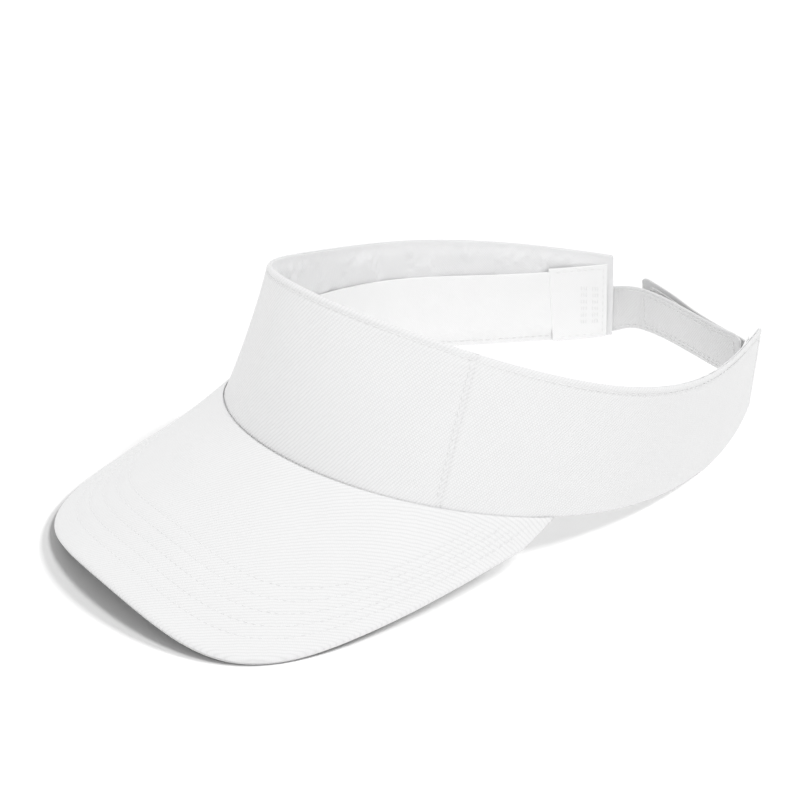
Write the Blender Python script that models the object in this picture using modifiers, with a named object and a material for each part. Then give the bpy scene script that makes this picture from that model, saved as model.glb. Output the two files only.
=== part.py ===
"""A cotton sun visor: a curved brim, a raised open headband and a hook-and-loop closure at the back.

Metres, +Z up. The brim points to -Y and the wearer's left is +X. The visor rests on the plane Z = 0,
and the origin lies on that plane under the middle of the object's bounding box.

The band is a ruled surface between its bottom edge and its top edge. Both edges are given by the angle
round the head: 0 at the middle of the forehead, positive towards the wearer's left. Every fabric layer of
the band is a sheet at its own depth behind that surface. Each layer is split by an upright plane just
behind the brim's corner, where the sides bend when the head size is changed.
"""

from math import cos, pi, radians, sin

import bpy
from mathutils import Matrix, Vector

MM = 0.001
UP = Vector((0, 0, 1))

# Where the middle of the head opening lies, so that the origin is under the middle of the bounding box.
HEAD_CENTRE_Y = 37.54 * MM

# Bottom edge of the band: half an egg, wider towards the forehead.
BOTTOM_HALF_WIDTH = 74.7 * MM
BOTTOM_HALF_LENGTH = 114 * MM
BOTTOM_SHIFT = -3.4 * MM
BOTTOM_EGG = 0.27
BOTTOM_HEIGHTS = (7.55 * MM, 23.9 * MM, 14.8 * MM, -7.1 * MM)

# Top edge of the band: narrower at the forehead, so the front leans back.
TOP_HALF_WIDTH = 77 * MM
TOP_HALF_LENGTH = 114.7 * MM
TOP_SHIFT = -16.2 * MM
TOP_EGG = 0.12
TOP_PINCH = 0.24
TOP_HEIGHTS = (50.8 * MM, 19.6 * MM, 9.8 * MM, 18.1 * MM)

# Angles of the seams and of the tails' ends at the bottom edge and at the top edge.
SEAM_ANGLES = (radians(42.9), radians(44.6))
TAIL_ANGLES = (radians(138.3), radians(136.7))
SEAM_GAP_ANGLE = radians(0.1)
CORNER_ANGLE = radians(66.7)
FLEX_Y = -16 * MM
FLEX_AXIS_X = 77.5 * MM
FLEX_GAP = 0.6 * MM
GAP = 0.3 * MM

# Depth of each layer's outer face behind the band's surface, and its thickness.
PANEL = (0.0, 1.0 * MM)
MIDDLE = (1.3 * MM, 0.9 * MM)
LINING = (2.5 * MM, 0.6 * MM)
SWEATBAND = (3.4 * MM, 1.0 * MM)

SWEATBAND_HEIGHT = 30.5 * MM
PATCH_HEIGHT = 32 * MM
PATCH_ANGLE = radians(14)
PATCH_SETBACK = radians(1.6)
PATCH_GAP_ANGLE = radians(0.4)
HEM_INSET = 1.2 * MM
SEAM_DROP = 4.2 * MM

# Brim: its outer edge is a full rounded outline, low at the sides and raised in the middle.
BRIM_HALF_WIDTH = 76.8 * MM
BRIM_LENGTH = 111 * MM
BRIM_SHIFT = 65.2 * MM
BRIM_PINCH = -0.3
BRIM_EDGE_ANGLE = radians(99.6)
BRIM_HEIGHT = 29.5 * MM
BRIM_SIDE_FALL = 24.4 * MM
BRIM_FRONT_FALL = 21.7 * MM
BRIM_SIDE_LIFT = 6.0 * MM
BRIM_SAG = 0.035
BRIM_THICKNESS = 4.2 * MM
BRIM_CORNER_THICKNESS = 2.0 * MM
BRIM_TAPER = radians(16)
BRIM_CLEARANCE = 0.7 * MM
BRIM_ROOT_SLOPE = 0.7
BRIM_TIP = radians(0.6)
BRIM_LINING_TIP = radians(3.6)
BRIM_BOARD_TIP = radians(11)
BRIM_COVER = 0.7 * MM
BRIM_BOARD = 1.7 * MM
BRIM_BOARD_INSET = 0.03
BRIM_COLUMNS = 40
BRIM_ROWS = 7
RIM_STEPS = 4
RIM_GAP_ANGLE = radians(9)

# Closure straps: width, thickness, and the lean of a strap's top edge towards the head.
STRAP_WIDTH = 20 * MM
STRAP_THICKNESS = 0.9 * MM
STRAP_LEAN = Vector((0, -0.12, 0.993))
STRAP_ROOT_ANGLE = radians(11)
STRAP_ROOT_LOW = 1.0 * MM
TAB_ROOT_LOW = 1.5 * MM
STRAP_ROOT_DEPTH = MIDDLE[0] + STRAP_THICKNESS / 2
TAPE_THICKNESS = 0.5 * MM
TAPE_MARGIN = 0.1

# Parts of a strap's length, from 0 inside the tail to 1 at the free end.
LOOP_TAPE_ENDS = (0.5, 0.98)
HOOK_TAPE_ENDS = (0.54, 0.97)
TAB_ROOT_END = 0.27
TAB_START = 0.285

# How far outside the tab's middle surface its fold axis lies.
FOLD_OFFSET = 0.9 * MM

# Low edges of the straps behind the tails, from the tail to the free end, measured from the head's middle.
STRAP_ROUTE = [
    (-34.0, 93.4, 3.6),
    (-28.0, 96.2, 3.9),
    (-16.0, 96.6, 4.6),
    (0.0, 94.8, 5.6),
    (17.0, 92.4, 6.8),
    (32.6, 91.2, 8.2),
]
TAB_ROUTE = [
    (34.4, 93.6, 3.8),
    (29.0, 97.0, 3.4),
    (16.0, 98.0, 3.2),
    (0.0, 99.2, 3.6),
    (-16.0, 100.8, 5.0),
    (-33.0, 100.6, 6.8),
]

# Columns and rows of cells across each layer.
FRONT_CELLS = (20, 4)
FIXED_CELLS = (7, 3)
MOVING_CELLS = (16, 3)
SWEATBAND_FRONT_CELLS = (34, 3)
SWEATBAND_SIDE_CELLS = (13, 3)
PATCH_CELLS = (5, 3)
STRAP_COLUMNS = 40
TAB_COLUMNS = 30
TAB_ROOT_COLUMNS = 12
TAPE_COLUMNS = 20

COLOURS = {
    "twill": (0.86, 0.86, 0.86, 1),
    "lining": (0.8, 0.8, 0.8, 1),
    "sweatband": (0.9, 0.9, 0.9, 1),
    "board": (0.75, 0.75, 0.73, 1),
    "tape": (0.82, 0.82, 0.82, 1),
}


def clear_scene():
    for obj in list(bpy.data.objects):
        bpy.data.objects.remove(obj, do_unlink=True)


def make_collection(name):
    collection = bpy.data.collections.new(name)
    bpy.context.scene.collection.children.link(collection)
    return collection


def make_material(name, roughness):
    material = bpy.data.materials.new(name)
    material.use_nodes = True
    shader = material.node_tree.nodes["Principled BSDF"]
    shader.inputs["Base Color"].default_value = COLOURS[name]
    shader.inputs["Roughness"].default_value = roughness
    shader.inputs["Metallic"].default_value = 0.0
    return material


def make_axis(name, position, parent):
    """An empty on a joint's axis. The position is measured from the middle of the head opening."""
    empty = bpy.data.objects.new(name, None)
    empty.empty_display_size = 0.02
    empty.parent = parent["empty"] if parent else None
    empty.location = position - (parent["position"] if parent else Vector())
    PARTS.objects.link(empty)
    return {"empty": empty, "position": position if parent else Vector()}


def lerp(start, end, part):
    return start + (end - start) * part


def pinched(value, pinch):
    """A sine or cosine made slimmer near 0 by a positive pinch, or fuller by a negative one."""
    return (1 - pinch) * value + pinch * value**3


def edge_height(heights, angle):
    return sum(factor * cos(angle) ** power for power, factor in enumerate(heights))


def bottom_edge(angle):
    x = BOTTOM_HALF_WIDTH * sin(angle) * (1 + BOTTOM_EGG * cos(angle))
    y = -BOTTOM_SHIFT - BOTTOM_HALF_LENGTH * cos(angle)
    return Vector((x, y, edge_height(BOTTOM_HEIGHTS, angle)))


def top_edge(angle):
    x = TOP_HALF_WIDTH * pinched(sin(angle), TOP_PINCH) * (1 + TOP_EGG * cos(angle))
    y = -TOP_SHIFT - TOP_HALF_LENGTH * pinched(cos(angle), TOP_PINCH)
    return Vector((x, y, edge_height(TOP_HEIGHTS, angle)))


def band(angle, height):
    """The band's outer surface. Height is 0 at the bottom edge and 1 at the top edge."""
    return bottom_edge(angle).lerp(top_edge(angle), height)


def band_height(angle):
    return (top_edge(angle) - bottom_edge(angle)).length


def inward(surface, u, v):
    """The unit normal that points behind the surface, where u runs to the left and v runs up."""
    step = 1e-4
    along = surface(u + step, v) - surface(u - step, v)
    up = surface(u, v + step) - surface(u, v - step)
    return up.cross(along).normalized()


def behind(surface, u, v, depth):
    return surface(u, v) + inward(surface, u, v) * depth


def flex_angle(side, height, offset):
    """The angle at which the band crosses the plane of the flex line, moved back by the offset."""
    low, high = radians(40), radians(100)
    for _ in range(40):
        middle = (low + high) / 2
        if band(middle, height).y < FLEX_Y + offset:
            low = middle
        else:
            high = middle
    return side * low


def mesh_object(name, rows, material, parent):
    """An open surface through rows of points, all rows the same length."""
    width = len(rows[0])
    points = [point for row in rows for point in row]
    faces = [
        (r * width + c, r * width + c + 1, (r + 1) * width + c + 1, (r + 1) * width + c)
        for r in range(len(rows) - 1)
        for c in range(width - 1)
    ]
    mesh = bpy.data.meshes.new(name)
    mesh.from_pydata(points, [], faces)
    mesh.materials.append(material)
    mesh.shade_smooth()
    mesh.set_sharp_from_angle(angle=radians(40))
    obj = bpy.data.objects.new(name, mesh)
    obj.parent = parent["empty"]
    obj.matrix_parent_inverse = Matrix.Translation(-parent["position"])
    PARTS.objects.link(obj)
    return obj


def solidify(obj, thickness, offset):
    modifier = obj.modifiers.new("thickness", "SOLIDIFY")
    modifier.thickness = thickness
    modifier.offset = offset
    return obj


def sheet(name, surface, layer, ends, limits, cells, material, parent):
    """A fabric layer behind a surface.

    ends gives the first and last u for a height v, limits gives the lowest and highest v for a u,
    and cells is the number of columns and rows.
    """
    depth, thickness = layer
    columns, rows = cells
    grid = []
    for row in range(rows + 1):
        line = []
        for column in range(columns + 1):
            v = row / rows
            for _ in range(4):
                u = lerp(*ends(v), column / columns)
                v = lerp(*limits(u), row / rows)
            line.append(behind(surface, u, v, depth))
        grid.append(line)
    return solidify(mesh_object(name, grid, material, parent), thickness, -1)


def front_ends(height):
    seam = lerp(*SEAM_ANGLES, height) - SEAM_GAP_ANGLE
    return -seam, seam


def sweatband_front_ends(height):
    return flex_angle(-1, height, -FLEX_GAP / 2), flex_angle(1, height, -FLEX_GAP / 2)


def side_ends(side, first, last):
    """Ends in rising order of angle, whichever side they are on."""
    return lambda height: tuple(sorted((side * first(height), side * last(height))))


def up_to(height, low=0.0):
    """Limits from low to a height measured along the band from its bottom edge."""
    return lambda angle: (low / band_height(angle), height / band_height(angle))


def full_height(inset):
    return lambda angle: (inset / band_height(angle), 1 - inset / band_height(angle))


def seam_drop(angle):
    """How far the layers behind the brim reach below its top: most in the middle, none at the corner."""
    return SEAM_DROP * max(0.0, 1 - (angle / CORNER_ANGLE) ** 2)


def behind_brim(inset):
    return lambda angle: (
        (inset - seam_drop(angle)) / band_height(angle),
        1 - inset / band_height(angle),
    )


def brim_sweatband_limits(angle):
    return (
        (GAP - seam_drop(angle)) / band_height(angle),
        SWEATBAND_HEIGHT / band_height(angle),
    )


def build_front():
    """The forehead panel with its stiffening and lining, in front of both side seams."""
    sheet("front_panel", band, PANEL, front_ends, behind_brim(0.0), FRONT_CELLS, TWILL, FRAME)
    inner = behind_brim(HEM_INSET)
    sheet("front_buckram", band, MIDDLE, front_ends, inner, FRONT_CELLS, BOARD, FRAME)
    sheet("front_lining", band, LINING, front_ends, inner, FRONT_CELLS, LINING_CLOTH, FRAME)
    sheet(
        "sweatband_front",
        band,
        SWEATBAND,
        sweatband_front_ends,
        brim_sweatband_limits,
        SWEATBAND_FRONT_CELLS,
        SWEAT,
        FRAME,
    )


def seam_start(height):
    return lerp(*SEAM_ANGLES, height) + SEAM_GAP_ANGLE


def fixed_end(height):
    return flex_angle(1, height, -FLEX_GAP / 2)


def moving_start(height):
    return flex_angle(1, height, FLEX_GAP / 2)


def tail_end(height):
    return lerp(*TAIL_ANGLES, height)


def patch_start(height):
    return tail_end(height) - PATCH_ANGLE


def patch_end(height):
    return tail_end(height) - PATCH_SETBACK


def sweatband_end(height):
    return patch_start(height) - PATCH_GAP_ANGLE


def build_side(side, name, axis):
    """One side of the band: a fixed length up to the flex line and a moving length up to the tail's end."""
    fixed = side_ends(side, seam_start, fixed_end)
    moving = side_ends(side, moving_start, tail_end)
    panel, lining = name + "_side_panel", name + "_side_lining"
    outer, inner = behind_brim(0.0), behind_brim(HEM_INSET)
    sheet(panel + "_front", band, PANEL, fixed, outer, FIXED_CELLS, TWILL, FRAME)
    sheet(lining + "_front", band, LINING, fixed, inner, FIXED_CELLS, LINING_CLOTH, FRAME)
    sheet(panel + "_rear", band, PANEL, moving, full_height(0.0), MOVING_CELLS, TWILL, axis)
    inner = full_height(HEM_INSET)
    sheet(lining + "_rear", band, LINING, moving, inner, MOVING_CELLS, LINING_CLOTH, axis)
    ends = side_ends(side, moving_start, sweatband_end)
    low_half = up_to(SWEATBAND_HEIGHT, GAP)
    sheet("sweatband_" + name, band, SWEATBAND, ends, low_half, SWEATBAND_SIDE_CELLS, SWEAT, axis)
    ends = side_ends(side, patch_start, patch_end)
    patch = up_to(PATCH_HEIGHT, GAP)
    sheet(name + "_end_patch", band, SWEATBAND, ends, patch, PATCH_CELLS, LINING_CLOTH, axis)


def brim_edge(turn):
    """The middle line of the brim's rim, from the front at 0 to the corner at BRIM_EDGE_ANGLE."""
    across = pinched(sin(turn), BRIM_PINCH)
    x = BRIM_HALF_WIDTH * across
    y = -BRIM_SHIFT - BRIM_LENGTH * pinched(cos(turn), BRIM_PINCH)
    z = (
        BRIM_HEIGHT
        - BRIM_SIDE_FALL * across**2
        - BRIM_FRONT_FALL * cos(turn)
        + BRIM_SIDE_LIFT * across**4
    )
    return Vector((x, y, z))


def brim_thickness(angle):
    """The brim is thick over its board and thins out towards each corner."""
    return lerp(BRIM_CORNER_THICKNESS, BRIM_THICKNESS, min(1.0, (CORNER_ANGLE - abs(angle)) / BRIM_TAPER))


def rim_frame(angle):
    """The rim's middle point, with the upward normal and the outward direction of the brim there."""
    turn = angle * BRIM_EDGE_ANGLE / CORNER_ANGLE
    step = 1e-4
    along = brim_edge(turn + step) - brim_edge(turn - step)
    across = brim_edge(turn) - behind(band, angle, 0.0, -BRIM_CLEARANCE)
    normal = across.cross(along).normalized()
    return brim_edge(turn), normal, along.cross(normal).normalized()


def rim_point(angle, turn):
    """A point of the rim's round: a quarter turn is the top face, and minus a quarter the underside."""
    middle, normal, outward = rim_frame(angle)
    half = brim_thickness(angle) / 2
    return middle + outward * (half * (cos(turn) - 1)) + normal * (half * sin(turn))


def brim_top(angle, part):
    """The brim's top face. Part is 0 at the band and 1 where the rim starts."""
    root = behind(band, angle, 0.0, -BRIM_CLEARANCE)
    tip = rim_point(angle, pi / 2)
    return root.lerp(tip, part) - UP * ((tip - root).length * BRIM_SAG * 4 * part * (1 - part))


def brim_layer(angle, part, depth):
    """A point at a depth below the top face. Deeper layers start further from the band, clear of it."""
    width = (brim_top(angle, 1.0) - brim_top(angle, 0.0)).length
    start = depth * BRIM_ROOT_SLOPE / width
    place = lerp(start, 1.0, part)
    return brim_top(angle, place) - inward(brim_top, angle, place) * depth


def brim_rows(last_angle, depth, parts, turns):
    """Rows of points from the band to the rim, and then round the rim through the given turns."""
    angles = [lerp(-last_angle, last_angle, i / BRIM_COLUMNS) for i in range(BRIM_COLUMNS + 1)]
    rows = [
        [brim_layer(angle, lerp(*parts, i / BRIM_ROWS), depth * brim_thickness(angle)) for angle in angles]
        for i in range(BRIM_ROWS + 1)
    ]
    return rows + [[rim_point(angle, turn) for angle in angles] for turn in turns]


def build_brim():
    """Two fabric covers that meet round the rim, with a stiff board between them."""
    turns = [lerp(pi / 2, RIM_GAP_ANGLE, i / RIM_STEPS) for i in range(RIM_STEPS + 1)]
    rows = brim_rows(CORNER_ANGLE - BRIM_TIP, 0.0, (0.0, 0.97), turns)
    top = mesh_object("brim_top_cover", [row[::-1] for row in rows], TWILL, FRAME)
    solidify(top, BRIM_COVER, -1)
    rows = brim_rows(CORNER_ANGLE - BRIM_LINING_TIP, 1.0, (0.0, 0.97), [-turn for turn in turns])
    below = solidify(mesh_object("brim_bottom_cover", rows, TWILL, FRAME), BRIM_COVER, -1)
    rows = brim_rows(CORNER_ANGLE - BRIM_BOARD_TIP, 0.5, (BRIM_BOARD_INSET, 1 - BRIM_BOARD_INSET), [])
    solidify(mesh_object("brim_stiffener", rows, BOARD, FRAME), BRIM_BOARD, 0)
    return below


def cut_feet(cover):
    """Flattens the two lowest places of the brim, which rest on the plane Z = 0."""
    bpy.ops.mesh.primitive_cube_add(size=1, location=(0, -0.11, -0.005))
    cutter = bpy.context.object
    cutter.name = "rest_plane_cutter"
    cutter.dimensions = (0.3, 0.3, 0.01)
    bpy.ops.object.transform_apply(location=False, rotation=False, scale=True)
    for collection in list(cutter.users_collection):
        collection.objects.unlink(cutter)
    CUTTERS.objects.link(cutter)
    cutter.hide_render = True
    cutter.display_type = "WIRE"
    modifier = cover.modifiers.new("rest plane", "BOOLEAN")
    modifier.operation = "DIFFERENCE"
    modifier.solver = "EXACT"
    modifier.object = cutter


def spline(points, part):
    """A smooth curve through the points, from the first at 0 to the last at 1."""
    place = min(max(part, 0.0), 1.0) * (len(points) - 1)
    index = min(int(place), len(points) - 2)
    t = place - index
    p1, p2 = points[index], points[index + 1]
    p0 = points[index - 1] if index else p1 * 2 - p2
    p3 = points[index + 2] if index + 2 < len(points) else p2 * 2 - p1
    straight = 2 * p1 + (p2 - p0) * t
    return 0.5 * (straight + (2 * p0 - 5 * p1 + 4 * p2 - p3) * t**2 + (3 * p1 - p0 - 3 * p2 + p3) * t**3)


def strap_surface(side, root_low, route):
    """A ruled strap that starts between the layers of a tail and follows a route of low-edge points."""
    low, high = [], []
    for back in (STRAP_ROOT_ANGLE, STRAP_ROOT_ANGLE / 2, 0.0):
        angle = side * (sum(TAIL_ANGLES) / 2 - back)
        tall = band_height(angle)
        low.append(behind(band, angle, root_low / tall, STRAP_ROOT_DEPTH))
        high.append(behind(band, angle, (root_low + STRAP_WIDTH) / tall, STRAP_ROOT_DEPTH))
    for point in route:
        low.append(Vector(point) * MM)
        high.append(Vector(point) * MM + STRAP_LEAN * STRAP_WIDTH)
    return lambda u, v: spline(low, u).lerp(spline(high, u), v)


def strap_sheet(name, surface, ends, limits, offset, thickness, columns, material, parent):
    """A strap or tape centred at an offset from the strap's own middle surface."""
    grid = []
    for row in range(3):
        v = lerp(*limits, row / 2)
        grid.append([behind(surface, lerp(*ends, i / columns), v, offset) for i in range(columns + 1)])
    return solidify(mesh_object(name, grid, material, parent), thickness, 0)


def build_closure():
    """Two straps that overlap behind the head: a loop strap from the right, a hook tab from the left.

    A strap's offsets grow towards the other strap: outwards from the loop strap, which runs to the left,
    and inwards from the hook tab, which runs to the right and lies outside it.
    """
    whole = (0.0, 1.0)
    inside = (TAPE_MARGIN, 1 - TAPE_MARGIN)
    tape_offset = (STRAP_THICKNESS + TAPE_THICKNESS) / 2 + GAP

    def strip(name, surface, ends, columns, parent):
        strap_sheet(name, surface, ends, whole, 0.0, STRAP_THICKNESS, columns, TWILL, parent)

    def tape(name, surface, ends, parent):
        strap_sheet(name, surface, ends, inside, tape_offset, TAPE_THICKNESS, TAPE_COLUMNS, TAPE, parent)

    strap = strap_surface(-1, STRAP_ROOT_LOW, STRAP_ROUTE)
    strip("closure_strap", strap, whole, STRAP_COLUMNS, RIGHT)
    tape("loop_tape", strap, LOOP_TAPE_ENDS, RIGHT)

    tab = strap_surface(1, TAB_ROOT_LOW, TAB_ROUTE)
    fold = make_axis("tab_fold_axis", behind(tab, (TAB_ROOT_END + TAB_START) / 2, 0.5, -FOLD_OFFSET), LEFT)
    strip("closure_tab_root", tab, (0.0, TAB_ROOT_END), TAB_ROOT_COLUMNS, LEFT)
    strip("closure_tab", tab, (TAB_START, 1.0), TAB_COLUMNS, fold)
    tape("hook_tape", tab, HOOK_TAPE_ENDS, fold)


clear_scene()
PARTS = make_collection("sun_visor")
CUTTERS = make_collection("cutters")
TWILL = make_material("twill", 0.9)
LINING_CLOTH = make_material("lining", 0.9)
SWEAT = make_material("sweatband", 0.95)
BOARD = make_material("board", 0.6)
TAPE = make_material("tape", 0.95)

FRAME = make_axis("visor_frame", Vector((0, HEAD_CENTRE_Y, 0)), None)
LEFT = make_axis("left_side_axis", Vector((FLEX_AXIS_X, FLEX_Y, 0)), FRAME)
RIGHT = make_axis("right_side_axis", Vector((-FLEX_AXIS_X, FLEX_Y, 0)), FRAME)
build_front()
build_side(1, "left", LEFT)
build_side(-1, "right", RIGHT)
cut_feet(build_brim())
build_closure()
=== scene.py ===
"""The looks of a white cotton sun visor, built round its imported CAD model.

Lengths are in metres and in the frame of the CAD model: +Z up, the brim towards -Y, the wearer's left
towards +X. The band's two edges, the brim's rim and the straps' routes repeat the CAD model's formulas,
so each cloth lies where its CAD solid is. A cloth is a closed sheet between an outer and an inner face.
"""

from math import cos, pi, radians, sin

import bpy
import numpy as np
from mathutils import Matrix, Vector


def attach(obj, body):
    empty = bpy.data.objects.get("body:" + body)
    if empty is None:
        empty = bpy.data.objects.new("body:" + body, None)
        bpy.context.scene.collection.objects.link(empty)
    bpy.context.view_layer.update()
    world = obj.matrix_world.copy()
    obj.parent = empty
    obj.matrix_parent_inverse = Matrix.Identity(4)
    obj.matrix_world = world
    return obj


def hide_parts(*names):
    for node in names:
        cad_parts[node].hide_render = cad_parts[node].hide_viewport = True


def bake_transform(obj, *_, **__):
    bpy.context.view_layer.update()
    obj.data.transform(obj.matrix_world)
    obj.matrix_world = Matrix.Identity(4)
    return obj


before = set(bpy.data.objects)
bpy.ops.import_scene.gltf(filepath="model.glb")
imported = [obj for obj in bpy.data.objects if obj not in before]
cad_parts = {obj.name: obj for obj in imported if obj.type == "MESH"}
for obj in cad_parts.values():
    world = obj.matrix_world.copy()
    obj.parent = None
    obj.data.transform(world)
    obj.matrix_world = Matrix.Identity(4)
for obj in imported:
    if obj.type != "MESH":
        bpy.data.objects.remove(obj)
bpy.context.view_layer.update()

MM = 0.001

# The band, from the CAD model.
HEAD_CENTRE = np.array((0.0, 37.54 * MM, 0.0))
BOTTOM_HALF_WIDTH, BOTTOM_HALF_LENGTH, BOTTOM_SHIFT, BOTTOM_EGG = 74.7 * MM, 114 * MM, -3.4 * MM, 0.27
BOTTOM_HEIGHTS = (7.55 * MM, 23.9 * MM, 14.8 * MM, -7.1 * MM)
TOP_HALF_WIDTH, TOP_HALF_LENGTH, TOP_SHIFT, TOP_EGG = 77 * MM, 114.7 * MM, -16.2 * MM, 0.12
TOP_PINCH = 0.24
TOP_HEIGHTS = (50.8 * MM, 19.6 * MM, 9.8 * MM, 18.1 * MM)
SEAM_ANGLES = (radians(42.9), radians(44.6))
TAIL_ANGLES = (radians(138.3), radians(136.7))
CORNER_ANGLE = radians(66.7)
# Half the gap between two panels at a seam. It is below zero, so the panels overlap by a hair.
SEAM_GAP_ANGLE = radians(-0.02)
PATCH_ANGLE = radians(14)
PATCH_SETBACK = radians(1.6)
PATCH_GAP_ANGLE = radians(0.4)
SWEATBAND_HEIGHT = 30.5 * MM
PATCH_HEIGHT = 32 * MM
SEAM_DROP = 4.2 * MM
GAP = 0.3 * MM
PATCH_THICKNESS = 0.7 * MM

# Depth of each layer's outer face behind the band's surface, and its thickness.
PANEL = (0.0, 1.0 * MM)
LINING = (2.5 * MM, 0.6 * MM)
SWEATBAND = (3.4 * MM, 1.0 * MM)

# The brim, from the CAD model.
BRIM_HALF_WIDTH, BRIM_LENGTH, BRIM_SHIFT, BRIM_PINCH = 76.8 * MM, 111 * MM, 65.2 * MM, -0.3
BRIM_EDGE_ANGLE = radians(99.6)
BRIM_HEIGHT, BRIM_SIDE_FALL, BRIM_FRONT_FALL, BRIM_SIDE_LIFT = 29.5 * MM, 24.4 * MM, 21.7 * MM, 6.0 * MM
BRIM_SAG = 0.035
BRIM_THICKNESS, BRIM_CORNER_THICKNESS, BRIM_TAPER = 4.2 * MM, 1.5 * MM, radians(16)
BRIM_CLEARANCE = 0.7 * MM
BRIM_ROOT_SLOPE = 0.7
BRIM_COVER = 0.7 * MM
BRIM_TIP = radians(0.6)
BRIM_POINT = radians(4)
BRIM_SIDE_ROUND = 4 * MM
BRIM_LINING_TIP = radians(3.6)

# The straps, from the CAD model.
STRAP_WIDTH, STRAP_THICKNESS = 20 * MM, 0.9 * MM
STRAP_LEAN = np.array((0, -0.12, 0.993))
STRAP_ROOT_ANGLE = radians(11)
STRAP_ROOT_DEPTH = 1.75 * MM
STRAP_ROOT_LOW, TAB_ROOT_LOW = 1.0 * MM, 1.5 * MM
TAPE_THICKNESS, TAPE_MARGIN = 0.5 * MM, 0.1
TAPE_OFFSET = (STRAP_THICKNESS + TAPE_THICKNESS) / 2 + GAP * 0.3
TAPE_BORDER = (0.16, 0.84)
LOOP_TAPE_ENDS, HOOK_TAPE_ENDS = (0.5, 0.98), (0.54, 0.97)
TAB_START = 0.285
STRAP_CORNER, STRAP_CORNER_RISE = 0.035, 0.17
STRAP_ROUTE = [
    (-34.0, 93.4, 3.6),
    (-28.0, 96.2, 3.9),
    (-16.0, 96.6, 4.6),
    (0.0, 94.8, 5.6),
    (17.0, 92.4, 6.8),
    (32.6, 91.2, 8.2),
]
TAB_ROUTE = [
    (34.4, 93.6, 3.8),
    (29.0, 97.0, 3.4),
    (16.0, 98.0, 3.2),
    (0.0, 99.2, 3.6),
    (-16.0, 100.8, 5.0),
    (-33.0, 100.6, 6.8),
]

# Sewing.
STITCH = 2.8 * MM
STITCH_GAP = 0.7 * MM
THREAD = 0.17 * MM
THREAD_SINK = 0.03 * MM
HEM_STITCH = 2.5 * MM
SEAM_STITCH = 1.7 * MM
BRIM_STITCH_ROWS = (11.0, 16.5, 22.0, 27.5, 33.0)
BRIM_STITCH_LIFT = -0.3 * MM
CELL = 1.0 * MM


def lerp(start, end, part):
    return start + (end - start) * part


def stack(x, y, z):
    return np.stack(np.broadcast_arrays(x, y, z), axis=-1)


def unit(vectors):
    return vectors / np.linalg.norm(vectors, axis=-1, keepdims=True)


def pinched(value, pinch):
    return (1 - pinch) * value + pinch * value**3


def edge_height(heights, angle):
    return sum(factor * np.cos(angle) ** power for power, factor in enumerate(heights))


def bottom_edge(angle):
    x = BOTTOM_HALF_WIDTH * np.sin(angle) * (1 + BOTTOM_EGG * np.cos(angle))
    y = -BOTTOM_SHIFT - BOTTOM_HALF_LENGTH * np.cos(angle)
    return stack(x, y, edge_height(BOTTOM_HEIGHTS, angle)) + HEAD_CENTRE


def top_edge(angle):
    x = TOP_HALF_WIDTH * pinched(np.sin(angle), TOP_PINCH) * (1 + TOP_EGG * np.cos(angle))
    y = -TOP_SHIFT - TOP_HALF_LENGTH * pinched(np.cos(angle), TOP_PINCH)
    return stack(x, y, edge_height(TOP_HEIGHTS, angle)) + HEAD_CENTRE


def band(angle, height):
    """The band's outer surface. Height is 0 at the bottom edge and 1 at the top edge."""
    angle, height = np.broadcast_arrays(angle, height)
    return lerp(bottom_edge(angle), top_edge(angle), height[..., None])


def band_height(angle):
    return np.linalg.norm(top_edge(angle) - bottom_edge(angle), axis=-1)


def inward(surface, u, v):
    """The unit normal behind the surface, where u runs to the left and v runs up."""
    step = 1e-4
    along = surface(u + step, v) - surface(u - step, v)
    up = surface(u, v + step) - surface(u, v - step)
    return unit(np.cross(up, along))


def behind(surface, u, v, depth):
    u, v, depth = np.broadcast_arrays(u, v, depth)
    return surface(u, v) + inward(surface, u, v) * depth[..., None]


def wave(x, seed):
    """A smooth wander between about -1 and 1, always the same for one seed."""
    rates = (1.0, 1.7, 2.9, 4.3)
    return sum(np.sin(rate * x + seed * (3 + 5 * i)) / (1 + 0.6 * i) for i, rate in enumerate(rates)) / 2.2


def groove(distance, width):
    """1 on a line, falling to 0 away from it."""
    return np.exp(-((distance / width) ** 2))


def lines(length, cell, edge):
    """Places from 0 to 1 along a length, a cell apart, and closer at both ends, where an edge is rounded."""
    near = np.array((0.0, 0.15, 0.5, 1.0)) * edge
    count = max(2, round((length - 2 * edge) / cell))
    middle = np.linspace(edge, length - edge, count + 1)[1:-1]
    return np.concatenate((near, middle, length - near[::-1])) / length


def roundness(distance, edge):
    """The share of its thickness that a cloth keeps at a distance from its border."""
    part = np.clip(distance / edge, 0, 1)
    return np.sqrt(np.clip(1 - (1 - part) ** 2, 0, 1))


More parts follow.
